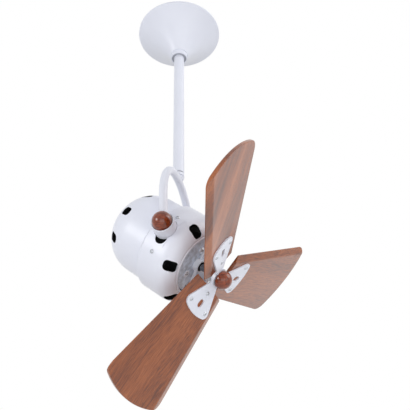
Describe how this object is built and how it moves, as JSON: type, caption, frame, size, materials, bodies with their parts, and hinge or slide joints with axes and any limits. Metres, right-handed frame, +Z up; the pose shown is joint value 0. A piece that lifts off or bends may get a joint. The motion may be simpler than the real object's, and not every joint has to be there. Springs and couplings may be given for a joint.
{
  "type": "ceiling fan",
  "caption": "Directional ceiling fan: conical canopy, downrod, swivelling bent-tube yoke with wooden clamp knobs, tilting vented motor head and pitched wooden blades.",
  "frame": {"origin": "on the rod axis, at the ceiling face of the hanger bracket", "axes": "+Z up into the ceiling, +Y along the tilt axis away from the near knob, +X the way the head faces"},
  "size_m": [0.2861, 0.4088, 0.7346],
  "materials": {
    "white_paint": "satin white paint",
    "blade_wood": "stained and lacquered",
    "turned_wood": "stained and lacquered",
    "zinc_steel": "zinc plated",
    "cast_aluminium": "as cast",
    "grey_rubber": "moulded",
    "nylon": "moulded",
    "bronze": "turned",
    "core_steel": "stacked laminations",
    "copper": "varnished winding"
  },
  "bodies": {
    "mount": {"hanger_bracket": "zinc_steel", "hanger_bolt": "zinc_steel", "hanger_nut": "zinc_steel", "hanger_bushes": "nylon", "downrod": "white_paint", "canopy": "white_paint", "canopy_grip_ring": "grey_rubber", "swivel_plug": "bronze"},
    "yoke": {"swivel_stem": "white_paint", "swivel_washer": "nylon", "swivel_spring": "zinc_steel", "swivel_nut": "zinc_steel", "yoke_tube": "white_paint", "pivot_cup_near": "white_paint", "pivot_cup_far": "white_paint"},
    "head": {"motor_frame": "cast_aluminium", "pivot_stud_near": "zinc_steel", "pivot_stud_far": "zinc_steel", "friction_washers": "nylon", "front_shell": "white_paint", "rear_shell": "white_paint", "shell_screws": "zinc_steel", "front_shield": "cast_aluminium", "shield_screws": "zinc_steel", "rear_shield": "cast_aluminium", "front_bearing": "bronze", "rear_bearing": "bronze", "stator_core": "core_steel", "stator_winding": "copper"},
    "rotor": {"motor_shaft": "zinc_steel", "rotor_core": "core_steel", "blade_hub": "cast_aluminium", "blade_spider": "white_paint", "blade_top": "blade_wood", "blade_right": "blade_wood", "blade_low": "blade_wood", "blade_screws": "zinc_steel", "finial": "turned_wood"},
    "knob_near": {"knob_near": "turned_wood", "knob_insert_near": "bronze"},
    "knob_far": {"knob_far": "turned_wood", "knob_insert_far": "bronze"}
  },
  "joints": [
    {"name": "yoke_swivel", "type": "hinge", "parent": "mount", "child": "yoke", "pos_m": [0, 0, -0.359], "axis": [0, 0, 1], "range_deg": [-180, 180]},
    {"name": "head_tilt", "type": "hinge", "parent": "yoke", "child": "head", "pos_m": [0, 0, -0.515], "axis": [0, 1, 0], "range_deg": [-41, 139]},
    {"name": "blade_spin", "type": "hinge", "parent": "head", "child": "rotor", "pos_m": [0, 0, -0.515], "axis": [0.7547, 0, -0.6561], "continuous": true},
    {"name": "knob_near_turn", "type": "hinge", "parent": "head", "child": "knob_near", "pos_m": [0, -0.087, -0.515], "axis": [0, -1, 0], "range_deg": [0, 360]},
    {"name": "knob_far_turn", "type": "hinge", "parent": "head", "child": "knob_far", "pos_m": [0, 0.087, -0.515], "axis": [0, 1, 0], "range_deg": [0, 360]}
  ]
}
